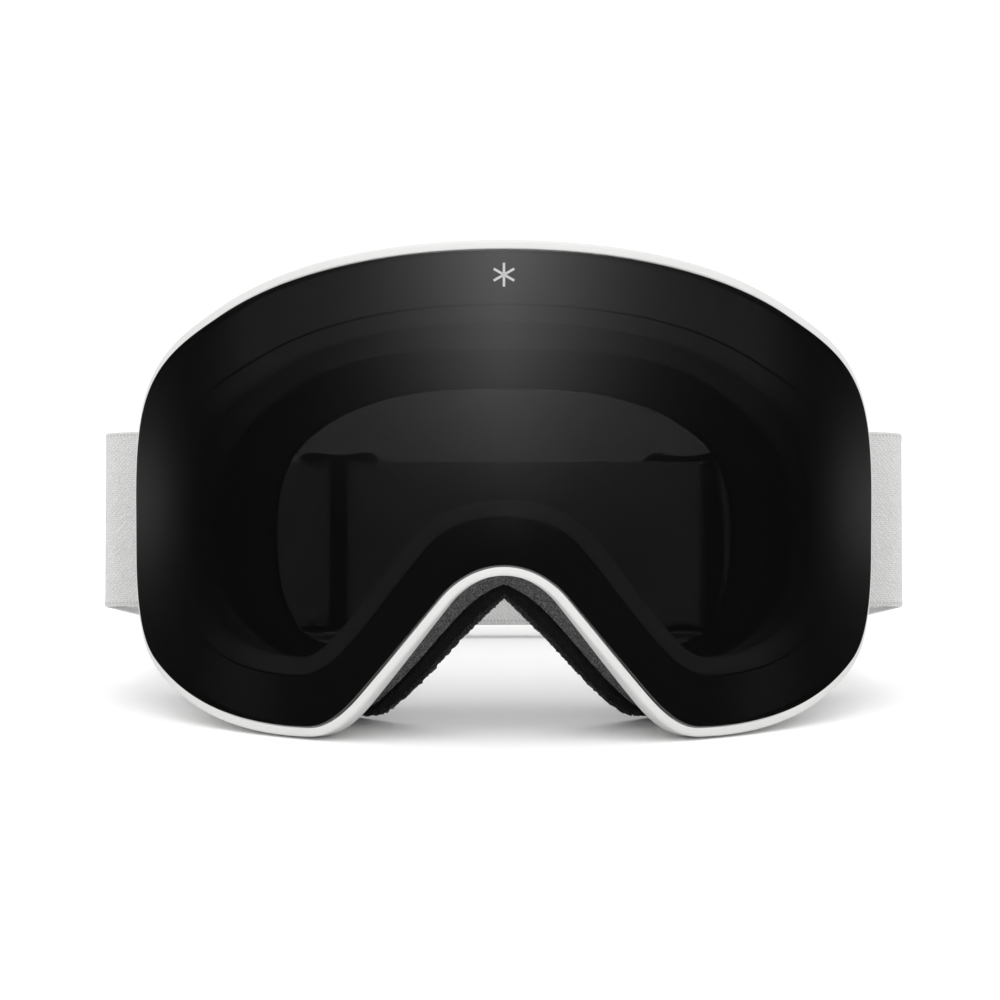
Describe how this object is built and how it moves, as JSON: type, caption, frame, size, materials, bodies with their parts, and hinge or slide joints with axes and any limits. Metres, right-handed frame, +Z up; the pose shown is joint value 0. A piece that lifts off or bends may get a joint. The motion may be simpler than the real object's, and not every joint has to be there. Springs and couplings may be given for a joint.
{
  "type": "ski goggles",
  "caption": "Ski goggles with a frameless dark cylindrical lens held by magnets, a white frame, layered face foam and an elastic strap with two sliders.",
  "frame": {"origin": "middle of the base of the box that bounds the goggles as they stand on the lower rim and a strap slider", "axes": "+X to the right as seen from in front of the lens, +Y from the lens towards the back of the strap, +Z up"},
  "size_m": [0.1926, 0.1786, 0.1147],
  "materials": {
    "frame_white": "satin moulded polyurethane",
    "lens_outer": "dark smoke polycarbonate with a gloss hard coat",
    "lens_inner": "clear anti-fog acetate behind the dark lens",
    "plastic_black": "fine-grained black plastic",
    "plastic_pale": "pale satin plastic",
    "foam_pale": "fine pale closed-cell foam",
    "foam_grey": "open-cell grey foam",
    "foam_black": "open-cell black foam",
    "fleece": "brushed black fleece",
    "magnet_steel": "nickel-plated",
    "webbing": "light grey woven elastic webbing with a fine diagonal weave"
  },
  "bodies": {
    "frame": {"frame": "frame_white", "foam_base_layer": "foam_grey", "foam_soft_layer": "foam_black", "fleece_liner": "fleece", "vent_filter_top": "foam_black", "vent_filter_cheek_left": "foam_black", "vent_filter_cheek_right": "foam_black", "frame_magnet_brow_left": "magnet_steel", "frame_magnet_brow_right": "magnet_steel", "frame_magnet_corner_left": "magnet_steel", "frame_magnet_corner_right": "magnet_steel", "frame_magnet_temple_left": "magnet_steel", "frame_magnet_temple_right": "magnet_steel", "frame_magnet_cheek_left": "magnet_steel", "frame_magnet_cheek_right": "magnet_steel", "strap_left_side": "webbing", "strap_right_side": "webbing"},
    "lens": {"outer_lens": "lens_outer", "inner_lens": "lens_inner", "lens_spacer": "foam_pale", "lens_carrier": "plastic_pale", "lens_magnet_brow_left": "magnet_steel", "lens_magnet_brow_right": "magnet_steel", "lens_magnet_corner_left": "magnet_steel", "lens_magnet_corner_right": "magnet_steel", "lens_magnet_temple_left": "magnet_steel", "lens_magnet_temple_right": "magnet_steel", "lens_magnet_cheek_left": "magnet_steel", "lens_magnet_cheek_right": "magnet_steel"},
    "strap_rear": {"strap_left_rear": "webbing", "strap_right_rear": "webbing"},
    "slider_left": {"slider_left": "plastic_black", "strap_right_end": "webbing"},
    "slider_right": {"slider_right": "plastic_black", "strap_left_end": "webbing"}
  },
  "joints": [
    {"name": "lens_release", "type": "slide", "parent": "frame", "child": "lens", "axis": [0, -0.9923, 0.124], "range_m": [0, 0.04]},
    {"name": "strap_stretch", "type": "slide", "parent": "frame", "child": "strap_rear", "axis": [0, 0.9816, -0.1907], "range_m": [0, 0.05], "stiffness_N_per_m": 150, "deforming": ["strap_left_side", "strap_right_side"]},
    {"name": "slider_left_adjust", "type": "slide", "parent": "strap_rear", "child": "slider_left", "axis": [1, 0, 0], "range_m": [-0.014, 0.022], "deforming": ["strap_right_rear"]},
    {"name": "slider_right_adjust", "type": "slide", "parent": "strap_rear", "child": "slider_right", "axis": [1, 0, 0], "range_m": [-0.022, 0.014], "deforming": ["strap_left_rear"]}
  ]
}
